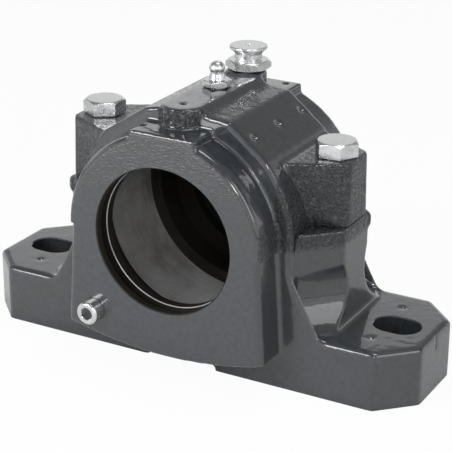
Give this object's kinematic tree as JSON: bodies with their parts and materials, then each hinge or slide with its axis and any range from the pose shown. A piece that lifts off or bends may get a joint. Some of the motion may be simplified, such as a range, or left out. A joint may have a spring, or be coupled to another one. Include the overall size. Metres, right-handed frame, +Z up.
{
  "type": "split plummer block housing",
  "caption": "Split cast plummer block housing with a slotted foot, a bolted cap, a threaded plug, grease nipples and a covered rear bore, for a bearing on a horizontal shaft.",
  "frame": {"origin": "middle of the mounting face under the foot, straight below the shaft axis", "axes": "+Z up from the mounting face, +Y along the shaft from the open bore to the covered bore, +X along the foot"},
  "size_m": [0.205, 0.096, 0.1245],
  "materials": {
    "casting": "dark grey semi-gloss paint over a cast surface",
    "zinc_steel": "bright zinc plated steel",
    "ground_steel": "ground steel",
    "cover_plastic": "black plastic"
  },
  "bodies": {
    "housing": {"base": "casting", "cap": "casting", "cap_bolt_left": "zinc_steel", "cap_bolt_right": "zinc_steel", "dowel_pin_left": "ground_steel", "dowel_pin_right": "ground_steel", "face_plug": "zinc_steel", "end_cover": "cover_plastic", "grease_nipple": "zinc_steel", "grease_nipple_spring": "ground_steel", "button_nipple": "zinc_steel", "button_nipple_spring": "ground_steel"},
    "grease_nipple_valve": {"grease_nipple_ball": "ground_steel"},
    "button_nipple_valve": {"button_nipple_ball": "ground_steel"}
  },
  "joints": [
    {"name": "grease_nipple_valve_slide", "type": "slide", "parent": "housing", "child": "grease_nipple_valve", "axis": [0, 0, -1], "range_m": [0, 0.0008], "stiffness_N_per_m": 60, "springref_m": -0.0002, "deforming": ["grease_nipple_spring"]},
    {"name": "button_nipple_valve_slide", "type": "slide", "parent": "housing", "child": "button_nipple_valve", "axis": [0, 0, -1], "range_m": [0, 0.0012], "stiffness_N_per_m": 100, "springref_m": -0.0003, "deforming": ["button_nipple_spring"]}
  ]
}
